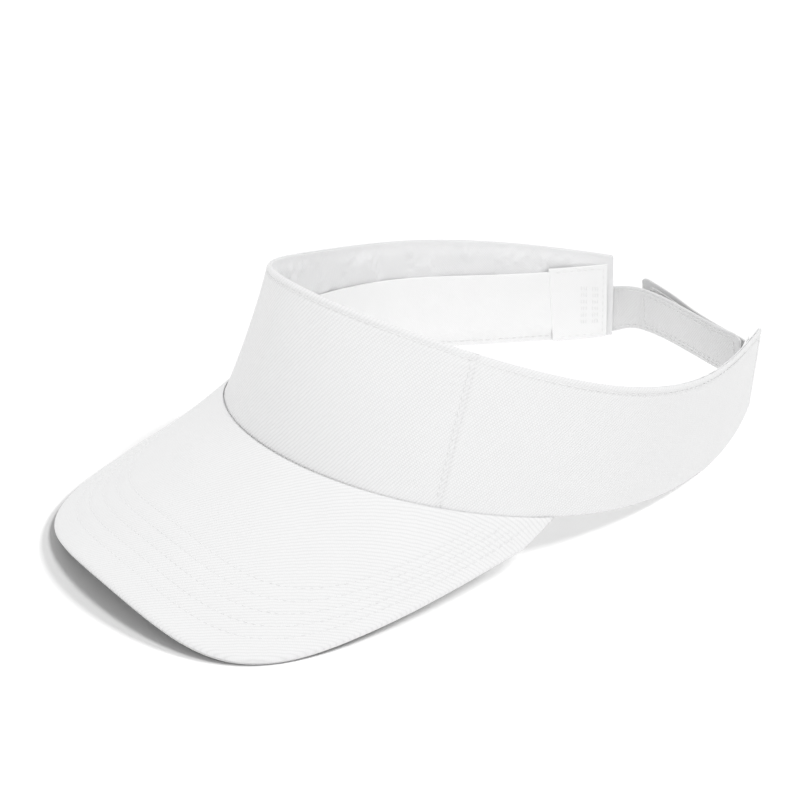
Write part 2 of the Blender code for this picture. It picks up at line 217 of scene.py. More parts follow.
class Sheet:
    """The grid of one cloth: where each of its points lies on a surface, and how far from each border."""

    def __init__(self, surface, ends, limits, thickness, cell=CELL):
        self.surface = surface
        edge = thickness * 0.5
        s, t = np.linspace(0, 1, 60), np.linspace(0, 1, 12)
        u, v = self.placed(ends, limits, *np.meshgrid(s, t))
        points = surface(u, v)
        middle = points[len(t) // 2]
        self.length = np.linalg.norm(np.diff(middle, axis=0), axis=-1).sum()
        heights = np.linalg.norm(np.diff(points, axis=0), axis=-1).sum(axis=0)
        self.height = heights.mean()
        s, t = lines(self.length, cell, edge), lines(self.height, cell, edge)
        self.s, self.t = np.meshgrid(s, t)
        self.u, self.v = self.placed(ends, limits, self.s, self.t)
        points = surface(self.u, self.v)
        steps = np.linalg.norm(np.diff(points, axis=0), axis=-1)
        rise = np.concatenate((np.zeros((1, steps.shape[1])), np.cumsum(steps, axis=0)))
        run = np.concatenate(([0], np.cumsum(np.linalg.norm(np.diff(points[len(t) // 2], axis=0), axis=-1))))
        self.run = np.broadcast_to(run, rise.shape)
        self.rise = rise
        self.from_start, self.from_end = self.run, run[-1] - self.run
        self.from_low, self.from_high = rise, rise[-1] - rise
        borders = (self.from_start, self.from_end, self.from_low, self.from_high)
        self.keep = np.minimum.reduce([roundness(distance, edge) for distance in borders])

    @staticmethod
    def placed(ends, limits, s, t):
        v = t
        for _ in range(6):
            u = lerp(*ends(v), s)
            v = lerp(*limits(u), t)
        return u, v

    def faces(self, depth, thickness, dent_out=0.0, dent_in=0.0):
        """The outer and the inner face, for the depth of the outer face and the thickness there."""
        middle = depth + thickness / 2
        half = thickness / 2 * self.keep
        outer = behind(self.surface, self.u, self.v, middle - half + dent_out * self.keep)
        inner = behind(self.surface, self.u, self.v, middle + half - dent_in * self.keep)
        return outer, inner


def quads(index):
    """The four corners of each face of a grid of point numbers."""
    corners = (index[:-1, :-1], index[:-1, 1:], index[1:, 1:], index[1:, :-1])
    return np.stack(corners, axis=-1).reshape(-1, 4)


def closed_mesh(name, outer, inner, material, flat=None):
    """A closed cloth between two grids that share their border. Its UV map is in millimetres of cloth."""
    rows, columns = outer.shape[:2]
    index_out = np.arange(rows * columns).reshape(rows, columns)
    index_in = index_out.copy()
    core = (rows - 2) * (columns - 2)
    index_in[1:-1, 1:-1] = rows * columns + np.arange(core).reshape(rows - 2, columns - 2)
    points = np.concatenate((outer.reshape(-1, 3), inner[1:-1, 1:-1].reshape(-1, 3)))
    faces = np.concatenate((quads(index_out), quads(index_in)[:, ::-1]))
    mesh = bpy.data.meshes.new(name)
    mesh.from_pydata(points.tolist(), [], faces.tolist())
    if flat is not None:
        grid = np.stack(flat, axis=-1).reshape(-1, 2) / MM
        place = np.concatenate((grid, grid.reshape(rows, columns, 2)[1:-1, 1:-1].reshape(-1, 2)))
        layer = mesh.uv_layers.new(name="cloth")
        layer.data.foreach_set("uv", place[faces.reshape(-1)].astype(np.float32).ravel())
    mesh.materials.append(material)
    mesh.shade_smooth()
    obj = bpy.data.objects.new(name, mesh)
    bpy.context.scene.collection.objects.link(obj)
    if signed_volume(mesh) < 0:
        mesh.flip_normals()
    return obj


def signed_volume(mesh):
    mesh.calc_loop_triangles()
    points = np.zeros(len(mesh.vertices) * 3)
    mesh.vertices.foreach_get("co", points)
    points = points.reshape(-1, 3)
    corners = np.zeros(len(mesh.loop_triangles) * 3, np.int32)
    mesh.loop_triangles.foreach_get("vertices", corners)
    a, b, c = points[corners.reshape(-1, 3)].transpose(1, 0, 2)
    return (a * np.cross(b, c)).sum() / 6


# Materials -----------------------------------------------------------------------------------------------


class Nodes:
    """Short calls for making the nodes of one material."""

    def __init__(self, name):
        self.material = bpy.data.materials.new(name)
        self.material.use_nodes = True
        self.tree = self.material.node_tree
        self.shader = self.tree.nodes["Principled BSDF"]

    def add(self, kind, **settings):
        node = self.tree.nodes.new(kind)
        for key, value in settings.items():
            setattr(node, key, value)
        return node

    def link(self, source, target):
        self.tree.links.new(source, target)

    def math(self, operation, first, second=0.0, clamp=False):
        node = self.add("ShaderNodeMath", operation=operation, use_clamp=clamp)
        for socket, value in zip(node.inputs, (first, second)):
            if isinstance(value, (int, float)):
                socket.default_value = value
            else:
                self.link(value, socket)
        return node.outputs[0]

    def times(self, first, second):
        return self.math("MULTIPLY", first, second)

    def plus(self, first, second, clamp=False):
        return self.math("ADD", first, second, clamp)

    def wave(self, value):
        return self.math("SINE", value)

    def noise(self, vector, scale, detail=2.0, roughness=0.5):
        node = self.add("ShaderNodeTexNoise")
        node.inputs["Scale"].default_value = scale
        node.inputs["Detail"].default_value = detail
        node.inputs["Roughness"].default_value = roughness
        self.link(vector, node.inputs["Vector"])
        return node.outputs["Fac"]

    def ramp(self, value, low, high):
        """A colour between low and high for a value from 0 to 1."""
        node = self.add("ShaderNodeMix", data_type="RGBA")
        self.link(value, node.inputs["Factor"])
        node.inputs["A"].default_value = (*low, 1)
        node.inputs["B"].default_value = (*high, 1)
        return node.outputs["Result"]

    def bump(self, height, distance, strength=1.0):
        node = self.add("ShaderNodeBump")
        node.inputs["Strength"].default_value = strength
        node.inputs["Distance"].default_value = distance
        self.link(height, node.inputs["Height"])
        self.link(node.outputs["Normal"], self.shader.inputs["Normal"])


def cloth_finish(nodes, roughness, sheen):
    nodes.shader.inputs["Roughness"].default_value = roughness
    nodes.shader.inputs["Sheen Weight"].default_value = sheen
    nodes.shader.inputs["Sheen Roughness"].default_value = 0.5
    nodes.shader.inputs["Specular IOR Level"].default_value = 0.25
    return nodes.material


def woven(name, pitch, slant, colours, depth, sheen=0.15):
    """Twill: slanting wales a pitch apart in millimetres, each made of short floats of thread."""
    nodes = Nodes(name)
    cloth = nodes.add("ShaderNodeUVMap", uv_map="cloth").outputs["UV"]
    parts = nodes.add("ShaderNodeSeparateXYZ")
    nodes.link(cloth, parts.inputs["Vector"])
    x, y = parts.outputs["X"], parts.outputs["Y"]
    wander = nodes.times(nodes.noise(cloth, 0.25), 0.7)
    across = nodes.plus(nodes.times(x, sin(slant) / pitch), nodes.times(y, -cos(slant) / pitch))
    across = nodes.plus(across, wander)
    along = nodes.plus(nodes.times(x, cos(slant) / pitch), nodes.times(y, sin(slant) / pitch))
    wale = nodes.math("ABSOLUTE", nodes.wave(nodes.times(across, pi)))
    shift = nodes.times(nodes.math("FLOOR", across), 0.5)
    floats = nodes.math("ABSOLUTE", nodes.wave(nodes.times(nodes.plus(nodes.times(along, 1.3), shift), pi)))
    height = nodes.times(nodes.math("POWER", wale, 0.6), nodes.plus(nodes.times(floats, 0.3), 0.7))
    fibre = nodes.noise(cloth, 6.0, 3.0)
    height = nodes.plus(height, nodes.times(fibre, 0.25))
    patchy = nodes.noise(cloth, 0.06, 3.0)
    # The base colour follows the weave's height, darker in the hollows between the wales: painted shade
    # there, with random patchy tone mixed in.
    shade = nodes.plus(nodes.times(height, 0.85), nodes.times(patchy, 0.25), clamp=True)
    nodes.link(nodes.ramp(shade, *colours), nodes.shader.inputs["Base Color"])
    nodes.bump(height, depth)
    return cloth_finish(nodes, 0.85, sheen)


def plain_weave(name, pitch, colours, depth, sheen=0.1):
    """Plain weave: threads over and under each other, a pitch apart in millimetres."""
    nodes = Nodes(name)
    cloth = nodes.add("ShaderNodeUVMap", uv_map="cloth").outputs["UV"]
    parts = nodes.add("ShaderNodeSeparateXYZ")
    nodes.link(cloth, parts.inputs["Vector"])
    warp = nodes.wave(nodes.times(parts.outputs["X"], pi / pitch))
    weft = nodes.wave(nodes.times(parts.outputs["Y"], pi / pitch))
    check = nodes.times(warp, weft)
    height = nodes.plus(nodes.times(check, 0.35), 0.5)
    height = nodes.plus(height, nodes.times(nodes.noise(cloth, 5.0, 3.0), 0.25))
    patchy = nodes.noise(cloth, 0.08, 3.0)
    # The base colour follows the weave's height, darker where the threads dip: painted shade there, with
    # random patchy tone mixed in.
    shade = nodes.plus(nodes.times(height, 0.7), nodes.times(patchy, 0.4), clamp=True)
    nodes.link(nodes.ramp(shade, *colours), nodes.shader.inputs["Base Color"])
    nodes.bump(height, depth)
    return cloth_finish(nodes, 0.9, sheen)


def pile(name, colours, scale, depth):
    """The fuzz of a loop tape, or the stubble of a hook tape."""
    nodes = Nodes(name)
    cloth = nodes.add("ShaderNodeUVMap", uv_map="cloth").outputs["UV"]
    cells = nodes.add("ShaderNodeTexVoronoi")
    cells.inputs["Scale"].default_value = scale
    nodes.link(cloth, cells.inputs["Vector"])
    tips = nodes.times(cells.outputs["Distance"], 0.7)
    height = nodes.plus(tips, nodes.times(nodes.noise(cloth, scale * 3, 3.0), 0.5))
    # The base colour follows the pile's height, darker where the pile is low: painted shade.
    nodes.link(nodes.ramp(height, *colours), nodes.shader.inputs["Base Color"])
    nodes.bump(height, depth)
    return cloth_finish(nodes, 0.95, 0.3)


def thread_material(name):
    """Twisted sewing thread."""
    nodes = Nodes(name)
    place = nodes.add("ShaderNodeTexCoord").outputs["Object"]
    height = nodes.noise(place, 4000.0, 2.0)
    nodes.link(nodes.ramp(height, (0.8, 0.8, 0.8), (0.93, 0.93, 0.93)), nodes.shader.inputs["Base Color"])
    nodes.bump(height, 0.05 * MM)
    return cloth_finish(nodes, 0.6, 0.2)


def board_material(name, colour):
    """Pressed board or stiffening, with a faint grain."""
    nodes = Nodes(name)
    place = nodes.add("ShaderNodeTexCoord").outputs["Object"]
    height = nodes.noise(place, 900.0, 4.0)
    nodes.link(nodes.ramp(height, [c * 0.93 for c in colour], colour), nodes.shader.inputs["Base Color"])
    nodes.bump(height, 0.1 * MM)
    return cloth_finish(nodes, 0.7, 0.0)


TWILL_SLANT = radians(52)
TWILL_COLOURS = ((0.75, 0.75, 0.752), (0.86, 0.86, 0.862))
TWILL = woven("twill", 1.05, TWILL_SLANT, TWILL_COLOURS, 0.1 * MM)
BRIM_TWILL = woven("brim_twill", 1.05, radians(50), TWILL_COLOURS, 0.06 * MM)
# The straps' twill has base colours about 8% darker than the band's twill: painted shade for the straps,
# which lie inside the ring.
SHADED_STRAP_TWILL = woven("strap_twill_painted_shade", 0.9, TWILL_SLANT, ((0.69, 0.69, 0.692), (0.79, 0.79, 0.792)), 0.09 * MM)
LINING_CLOTH = plain_weave("lining", 0.55, ((0.76, 0.76, 0.765), (0.88, 0.88, 0.885)), 0.08 * MM)
SWEATBAND_CLOTH = plain_weave("sweatband", 0.5, ((0.88, 0.88, 0.88), (0.96, 0.96, 0.96)), 0.05 * MM, 0.25)
LOOP_PILE = pile("loop_pile", ((0.72, 0.72, 0.72), (0.9, 0.9, 0.9)), 1.6, 0.4 * MM)
HOOK_PILE = pile("hook_pile", ((0.66, 0.66, 0.66), (0.88, 0.88, 0.88)), 1.1, 0.4 * MM)
THREAD_MATERIAL = thread_material("thread")
BOARD = board_material("board", (0.75, 0.75, 0.73))
BUCKRAM = board_material("buckram", (0.82, 0.82, 0.80))


# Sewing --------------------------------------------------------------------------------------------------


def along_line(points, normals, pitch):
    """Positions, directions and normals spaced evenly along a line of points."""
    steps = np.linalg.norm(np.diff(points, axis=0), axis=-1)
    run = np.concatenate(([0], np.cumsum(steps)))
    count = max(1, round(run[-1] / pitch))
    places = (np.arange(count) + 0.5) * run[-1] / count
    at = np.stack([np.interp(places, run, points[:, k]) for k in range(3)], axis=-1)
    ahead = np.stack([np.interp(places + pitch / 2, run, points[:, k]) for k in range(3)], axis=-1)
    back = np.stack([np.interp(places - pitch / 2, run, points[:, k]) for k in range(3)], axis=-1)
    up = unit(np.stack([np.interp(places, run, normals[:, k]) for k in range(3)], axis=-1))
    return at, unit(ahead - back), up


def stitch_points(at, along, up, length, radius):
    """The rings of one row of stitches: each thread rises from the cloth, lies on it and sinks back in."""
    side = unit(np.cross(up, along))
    rings, sides = 7, 6
    t = np.linspace(-1, 1, rings)
    rise = radius * (1.15 - 2.4 * np.abs(t) ** 4)
    taper = np.sqrt(np.clip(1.02 - t**6, 0, 1))
    turn = np.arange(sides) * 2 * pi / sides
    ahead = along[:, None] * (t * length / 2)[None, :, None]
    centre = at[:, None] + ahead + up[:, None] * rise[None, :, None]
    ring = (
        side[:, None, None] * (np.cos(turn) * radius)[None, None, :, None]
        + up[:, None, None] * (np.sin(turn) * radius)[None, None, :, None]
    )
    return centre[:, :, None] + ring * taper[None, :, None, None]


def stitches(name, rows, radius=THREAD, pitch=STITCH):
    """One object for several rows of stitches. A row is its points and the normals that they lie on."""
    made = [stitch_points(*along_line(*row, pitch), pitch - STITCH_GAP, radius) for row in rows]
    points = np.concatenate(made)
    count, rings, sides = points.shape[:3]
    index = np.arange(count * rings * sides).reshape(count, rings, sides)
    turned = np.roll(index, -1, axis=2)
    quads = np.stack((index[:, :-1], turned[:, :-1], turned[:, 1:], index[:, 1:]), axis=-1).reshape(-1, 4)
    caps = index[:, 0, ::-1].tolist() + index[:, -1].tolist()
    mesh = bpy.data.meshes.new(name)
    mesh.from_pydata(points.reshape(-1, 3).tolist(), [], quads.tolist() + caps)
    mesh.materials.append(THREAD_MATERIAL)
    mesh.shade_smooth()
    obj = bpy.data.objects.new(name, mesh)
    bpy.context.scene.collection.objects.link(obj)
    if signed_volume(mesh) < 0:
        mesh.flip_normals()
    return obj


def row_on(surface, u, v, depth, side=-1):
    """A row of stitches at a depth behind a surface. Side is -1 on its outer face and 1 on its inner."""
    u, v = np.broadcast_arrays(u, v)
    return behind(surface, u, v, depth), inward(surface, u, v) * side


def pucker(run, line_distance, pitch=STITCH, width=2.2 * MM):
    """Small ripples across a row of stitches: the cloth is drawn down at each stitch hole."""
    return np.cos(run / pitch * 2 * pi) * groove(line_distance, width)


# Band ----------------------------------------------------------------------------------------------------


def seam_drop(angle):
    return SEAM_DROP * np.clip(1 - (angle / CORNER_ANGLE) ** 2, 0, 1)


def behind_brim(inset):
    return lambda u: ((inset - seam_drop(u)) / band_height(u), 1 - inset / band_height(u))


def seam(height):
    return lerp(*SEAM_ANGLES, height)


def tail(height):
    return lerp(*TAIL_ANGLES, height)


def mirrored(side, first, last):
    """Ends in rising order of angle, whichever side they are on."""
    if side > 0:
        return lambda v: (first(v), last(v))
    return lambda v: (-last(v), -first(v))


def folded_edge(distance, reach, depth):
    """How far a cloth turns inwards next to a seam."""
    return depth * np.clip(1 - distance / reach, 0, 1) ** 2


def hem_bulge(distance):
    """The rounded swell of a hem, fullest halfway between its edge and its stitches."""
    return np.clip(1 - np.abs(distance - HEM_STITCH / 2) / (HEM_STITCH / 2), 0, 1) ** 0.5


def panel_dents(cloth, seams, seed, hem_ends=()):
    """A panel's relief: hem bulge and stitch groove under the top edge, and cloth turned in at seams."""
    hem = cloth.from_high
    dent = -0.22 * MM * hem_bulge(hem)
    dent = dent + 0.34 * MM * groove(hem - HEM_STITCH, 0.5 * MM)
    dent = dent + folded_edge(hem, 2.4 * MM, 0.45 * MM)
    ripple = pucker(cloth.run, hem - HEM_STITCH - 0.8 * MM)
    dent = dent + 0.07 * MM * ripple * (0.6 + 0.4 * wave(cloth.run / (9 * MM), seed))
    for distance in seams:
        dent = dent + folded_edge(distance, 0.9 * MM, 0.4 * MM)
    for distance in hem_ends:
        dent = dent - 0.18 * MM * hem_bulge(distance)
        dent = dent + 0.3 * MM * groove(distance - HEM_STITCH, 0.5 * MM)
    dent = dent + 0.22 * MM * wave(cloth.run / (16 * MM), seed + 2) * wave(cloth.rise / (14 * MM), seed + 4)
    return dent


def front_panel():
    ends = lambda v: (-seam(v) + SEAM_GAP_ANGLE, seam(v) - SEAM_GAP_ANGLE)
    cloth = Sheet(band, ends, behind_brim(0.0), PANEL[1])
    seams = (cloth.from_start, cloth.from_end)
    dent = panel_dents(cloth, seams, 1)
    for distance in seams:
        dent = dent + 0.22 * MM * groove(distance - SEAM_STITCH, 0.45 * MM)
        near_seam = np.clip(1 - np.abs(distance - 4 * MM) / (5 * MM), 0, 1)
        gathers = np.cos(cloth.rise / (3.1 * MM) * 2 * pi) * near_seam
        share = np.clip(1.2 - cloth.from_high / (22 * MM), 0.12, 1)
        dent = dent + 0.13 * MM * gathers * share
    outer, inner = cloth.faces(PANEL[0], PANEL[1] * 0.95, dent, -dent * 0.4)
    obj = closed_mesh("forehead_panel", outer, inner, TWILL, (cloth.run, cloth.rise))
    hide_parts("front_panel")
    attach(obj, "visor_front")
    return declare(obj, cloth)


def declare(obj, cloth):
    """Works out the flat area of a cloth, which is not kept, and returns the object as it is."""
    area = np.linalg.norm(np.diff(cloth.surface(cloth.u, cloth.v)[:, :], axis=1), axis=-1)[:-1]
    rise = np.diff(cloth.rise, axis=0)[:, :-1]
    area = float((area * rise).sum())
    return obj


def bend_side(obj):
    """Bakes the object's placement into its mesh."""
    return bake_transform(obj)


def side_panel(side, name):
    start = lambda v: seam(v) + SEAM_GAP_ANGLE
    ends = mirrored(side, start, tail)
    cloth = Sheet(band, ends, behind_brim(0.0), PANEL[1])
    at_seam, at_tail = (cloth.from_start, cloth.from_end) if side > 0 else (cloth.from_end, cloth.from_start)
    dent = panel_dents(cloth, (at_seam,), 5 + side, (at_tail,))
    outer, inner = cloth.faces(PANEL[0], PANEL[1] * 0.95, dent, -dent * 0.4)
    obj = closed_mesh(name + "_panel", outer, inner, TWILL, (cloth.run, cloth.rise))
    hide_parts(name + "_panel_front", name + "_panel_rear")
    declare(obj, cloth)
    return bend_side(obj)


def pressed(distance, reach):
    """1 where layers are sewn together, at distance 0, easing to 0 at the reach."""
    part = np.clip(distance / reach, 0, 1)
    return 1 - part * part * (3 - 2 * part)


def hidden_depth(cloth, depth, sewn_depth, at_top=6 * MM, at_low=5 * MM):
    """The depth of an inner layer, which is drawn up to the layer in front of it at its sewn edges."""
    press = pressed(cloth.from_low, at_low)
    if at_top:
        press = np.maximum(press, pressed(cloth.from_high, at_top))
    return lerp(depth, sewn_depth, press)


def from_tail(cloth, side):
    """How far each point is from the end of the tail, along the cloth."""
    return cloth.from_end if side > 0 else cloth.from_start


DRAPE_FRAMES = 24


def drape(name, surface, angles, heights, held, growth, low_cap, high_cap, seed):
    """A cloth simulation of slightly too much cloth between its sewn edges.

    It returns how far the cloth stands behind the surface, as a grid over the angles and the heights.
    """
    u, v = np.meshgrid(angles, heights)
    rest = surface(u, v)
    normal = inward(surface, u, v)
    rows, columns = u.shape
    start = rest + normal * (np.random.default_rng(seed).normal(0, 0.08 * MM, u.shape))[..., None]
    index = np.arange(rows * columns).reshape(rows, columns)
    mesh = bpy.data.meshes.new(name)
    mesh.from_pydata(start.reshape(-1, 3).tolist(), [], quads(index).tolist())
    obj = bpy.data.objects.new(name, mesh)
    bpy.context.scene.collection.objects.link(obj)
    pins = obj.vertex_groups.new(name="sewn")
    pins.add(np.flatnonzero(held(u, v).ravel()).tolist(), 1.0, "REPLACE")
    modifier = obj.modifiers.new("cloth", "CLOTH")
    settings = modifier.settings
    settings.vertex_group_mass = "sewn"
    settings.quality = 8
    settings.mass = 0.15
    settings.tension_stiffness = settings.compression_stiffness = 25
    settings.shear_stiffness = 15
    settings.bending_stiffness = 0.6
    settings.shrink_min = -growth
    settings.effector_weights.gravity = 0
    modifier.collision_settings.use_self_collision = False
    scene = bpy.context.scene
    modifier.point_cache.frame_start, modifier.point_cache.frame_end = 1, DRAPE_FRAMES
    for number in range(1, DRAPE_FRAMES + 1):
        scene.frame_set(number)
    evaluated = obj.evaluated_get(bpy.context.evaluated_depsgraph_get())
    points = np.zeros(rows * columns * 3)
    evaluated.data.vertices.foreach_get("co", points)
    scene.frame_set(1)
    bpy.data.objects.remove(obj)
    moved = ((points.reshape(rows, columns, 3) - rest) * normal).sum(axis=-1)
    return np.clip(moved, -low_cap, high_cap)


def sampled(relief, angles, heights, u, v):
    """A simulated relief read at other places of the same surface."""
    x = np.clip((u - angles[0]) / (angles[-1] - angles[0]), 0, 1) * (len(angles) - 1)
    y = np.clip((v - heights[0]) / (heights[-1] - heights[0]), 0, 1) * (len(heights) - 1)
    i, j = np.minimum(x.astype(int), len(angles) - 2), np.minimum(y.astype(int), len(heights) - 2)
    x, y = x - i, y - j
    x, y = x * x * (3 - 2 * x), y * y * (3 - 2 * y)
    low = relief[j, i] * (1 - x) + relief[j, i + 1] * x
    high = relief[j + 1, i] * (1 - x) + relief[j + 1, i + 1] * x
    return low * (1 - y) + high * y


LINING_ANGLES = np.linspace(-TAIL_ANGLES[1], TAIL_ANGLES[1], 220)
LINING_LEVELS = np.linspace(0.4, 1.0, 16)


LINING_RELIEF_LIMIT = 1.6 * MM


def lining_held(u, v):
    """Sewn along the top hem, and hidden behind the sweatband below."""
    height = v * band_height(u)
    seams = np.abs(np.abs(u) - seam(v)) < radians(0.8)
    ends = np.abs(u) > tail(v) - PATCH_ANGLE * 0.7
    return (v > 0.93) | (height < SWEATBAND_HEIGHT - 5 * MM) | seams | ends


LINING_RELIEF = drape(
    "lining_drape", band, LINING_ANGLES, LINING_LEVELS, lining_held, 0.06, 0.35 * MM, LINING_RELIEF_LIMIT, 3
)


def lining_piece(name, ends, limits, side, seed):
    cloth = Sheet(band, ends, limits, LINING[1])
    depth = hidden_depth(cloth, LINING[0], PANEL[1] - 0.05 * MM)
    if side:
        near_tail = pressed(from_tail(cloth, side), 4 * MM)
        over_strap = 1 - pressed(np.abs(cloth.from_low - 11 * MM), 18 * MM)
        depth = np.minimum(depth, lerp(depth, PANEL[1] + 0.12 * MM, near_tail * over_strap))
        past_strap = pressed(from_tail(cloth, side) - 22 * MM, 10 * MM)
        strap_room = past_strap * pressed(cloth.from_low - 20 * MM, 6 * MM)
        depth = np.maximum(depth, lerp(PANEL[1] + 0.12 * MM, LINING[0], strap_room))
    relief = sampled(LINING_RELIEF, LINING_ANGLES, LINING_LEVELS, cloth.u, cloth.v)
    clear = 1 - pressed(cloth.v * band_height(cloth.u) - SWEATBAND_HEIGHT - 0.5 * MM, 6 * MM)
    relief = np.minimum(relief, lerp(0.1 * MM, LINING_RELIEF_LIMIT, clear))
    dent = relief + 0.12 * MM * wave(cloth.run / (7 * MM), seed) * wave(cloth.rise / (9 * MM), seed + 1)
    dent = dent - 0.22 * MM * groove(cloth.from_high - HEM_STITCH, 0.5 * MM)
    outer, inner = cloth.faces(depth, LINING[1] * 0.9, dent, -dent)
    obj = closed_mesh(name, outer, inner, LINING_CLOTH, (cloth.run, cloth.rise))
    return declare(obj, cloth)


def build_linings():
    ends = lambda v: (-seam(v) + SEAM_GAP_ANGLE, seam(v) - SEAM_GAP_ANGLE)
    obj = lining_piece("forehead_lining", ends, behind_brim(0.15 * MM), 0, 2)
    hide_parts("front_lining")
    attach(obj, "visor_front")
    for side, name in ((1, "left_side"), (-1, "right_side")):
        ends = mirrored(side, lambda v: seam(v) + SEAM_GAP_ANGLE, tail)
        obj = lining_piece(name + "_inner_lining", ends, behind_brim(0.15 * MM), side, 6 + side)
        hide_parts(name + "_lining_front", name + "_lining_rear")
        bend_side(obj)


def build_buckram():
    """The stiffening behind the forehead panel, cut short of the sewn top edge."""
    ends = lambda v: (-seam(v) + 2 * SEAM_GAP_ANGLE, seam(v) - 2 * SEAM_GAP_ANGLE)
    limits = lambda u: ((6 * MM - seam_drop(u)) / band_height(u), 1 - 7 * MM / band_height(u))
    cloth = Sheet(band, ends, limits, 0.9 * MM, 2 * MM)
    outer, inner = cloth.faces(1.3 * MM, 0.9 * MM)
    obj = closed_mesh("stiffening", outer, inner, BUCKRAM, (cloth.run, cloth.rise))
    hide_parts("front_buckram")
    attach(obj, "visor_front")
    declare(obj, cloth)


# Sweatband -----------------------------------------------------------------------------------------------

SWEAT_LEVELS = np.linspace(0.0, 1.0, 12)


def sweat_place(u, part):
    """A point of the band at a part of the sweatband's height."""
    low = -seam_drop(u) / band_height(u)
    return band(u, lerp(low, SWEATBAND_HEIGHT / band_height(u), part))


def sweat_held(u, part):
    """Sewn along its lower edge."""
    return part < 0.1


SWEAT_RELIEF = drape(
    "sweatband_drape", sweat_place, LINING_ANGLES, SWEAT_LEVELS, sweat_held, 0.012, 0.2 * MM, 1.0 * MM, 5
)


def sweatband_end(height):
    return tail(height) - PATCH_ANGLE - PATCH_GAP_ANGLE


def sweatband_half(side, name):
    """Half of the sweatband, from the middle of the forehead to the end patch."""
    middle = lambda v: 0.0 * v
    limits = lambda u: ((GAP - seam_drop(u)) / band_height(u), SWEATBAND_HEIGHT / band_height(u))
    cloth = Sheet(band, mirrored(side, middle, sweatband_end), limits, SWEATBAND[1])
    at_middle = cloth.from_start if side > 0 else cloth.from_end
    at_tail = from_tail(cloth, side)
    borders = [roundness(d, SWEATBAND[1] / 2) for d in (at_tail, cloth.from_low, cloth.from_high)]
    cloth.keep = np.minimum.reduce(borders)
    cloth.keep = np.where(at_middle <= 0, 0, cloth.keep)
    level = cloth.rise / cloth.rise[-1]
    depth = hidden_depth(cloth, SWEATBAND[0], PANEL[1] + LINING[1] + 0.3 * MM, 0, 7 * MM)
    relief = sampled(SWEAT_RELIEF, LINING_ANGLES, SWEAT_LEVELS, cloth.u, level)
    dent = relief * np.clip(at_middle / (4 * MM), 0, 1)
    stitch_row = groove(cloth.from_low - 2.2 * MM, 0.5 * MM)
    gather = pucker(cloth.run, cloth.from_low - 4.0 * MM, STITCH, 3 * MM)
    face = 0.2 * MM * stitch_row + 0.05 * MM * gather
    fold = -0.12 * MM * groove(cloth.from_high - 3.4 * MM, 3.0 * MM)
    outer, inner = cloth.faces(depth, SWEATBAND[1], dent, -dent + face + fold)
    obj = closed_mesh(name, outer, inner, SWEATBAND_CLOTH, (cloth.run, cloth.rise))
    return declare(obj, cloth)


def build_sweatband():
    for side, name in ((1, "left_side"), (-1, "right_side")):
        obj = sweatband_half(side, "sweatband_cloth_" + ("left" if side > 0 else "right"))
        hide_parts("sweatband_front", "sweatband_left" if side > 0 else "sweatband_right")
        bend_side(obj)


# End patches ---------------------------------------------------------------------------------------------


def end_patch(side, name):
    start = lambda v: tail(v) - PATCH_ANGLE - radians(0.55)
    end = lambda v: tail(v) - PATCH_SETBACK
    limits = lambda u: (GAP / band_height(u), PATCH_HEIGHT / band_height(u))
    cloth = Sheet(band, mirrored(side, start, end), limits, PATCH_THICKNESS, 0.8 * MM)
    depth = SWEATBAND[0] + SWEATBAND[1] - PATCH_THICKNESS + 0.08 * MM
    dent = 0.0
    for distance in (from_tail(cloth, side), cloth.from_low, cloth.from_high):
        dent = dent + 0.16 * MM * groove(distance - 1.7 * MM, 0.45 * MM)
    dent = dent - 0.12 * MM * wave(cloth.run / (6 * MM), side + 9) * wave(cloth.rise / (7 * MM), side + 3)
    outer, inner = cloth.faces(depth, PATCH_THICKNESS, 0.0, dent)
    obj = closed_mesh(name + "_patch_cloth", outer, inner, SWEATBAND_CLOTH, (cloth.run, cloth.rise))
    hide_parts(name + "_end_patch")
    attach(obj, name + "_side")
    return declare(obj, cloth)


# Brim ----------------------------------------------------------------------------------------------------


def brim_edge(turn):
    across = pinched(np.sin(turn), BRIM_PINCH)
    x = BRIM_HALF_WIDTH * across
    y = -BRIM_SHIFT - BRIM_LENGTH * pinched(np.cos(turn), BRIM_PINCH)
    z = BRIM_HEIGHT - BRIM_SIDE_FALL * across**2 - BRIM_FRONT_FALL * np.cos(turn) + BRIM_SIDE_LIFT * across**4
    return stack(x, y, z) + HEAD_CENTRE


def brim_thickness(angle):
    inside = np.clip((CORNER_ANGLE - np.abs(angle)) / BRIM_TAPER, 0, 1)
    return lerp(BRIM_CORNER_THICKNESS, BRIM_THICKNESS, inside)


def rim_point(angle, turn):
    """A point of the rim's round: a quarter turn is the top face, and minus a quarter the underside."""
    angle, turn = np.broadcast_arrays(angle, turn)
    place, step = angle * BRIM_EDGE_ANGLE / CORNER_ANGLE, 1e-4
    along = brim_edge(place + step) - brim_edge(place - step)
    across = brim_edge(place) - behind(band, angle, 0.0, -BRIM_CLEARANCE)
    normal = unit(np.cross(across, along))
    outward = unit(np.cross(along, normal))
    half = (brim_thickness(angle) / 2)[..., None]
    turn = turn[..., None]
    return brim_edge(place) + outward * (half * (np.cos(turn) - 1)) + normal * (half * np.sin(turn))


def brim_top(angle, part):
    """The brim's top face. Part is 0 at the band and 1 where the rim starts."""
    angle, part = np.broadcast_arrays(angle, part)
    root = behind(band, angle, 0.0, -BRIM_CLEARANCE)
    tip = rim_point(angle, pi / 2)
    part = part[..., None]
    sag = np.linalg.norm(tip - root, axis=-1, keepdims=True) * BRIM_SAG * 4 * part * (1 - part)
    return lerp(root, tip, part) - sag * np.array((0, 0, 1))


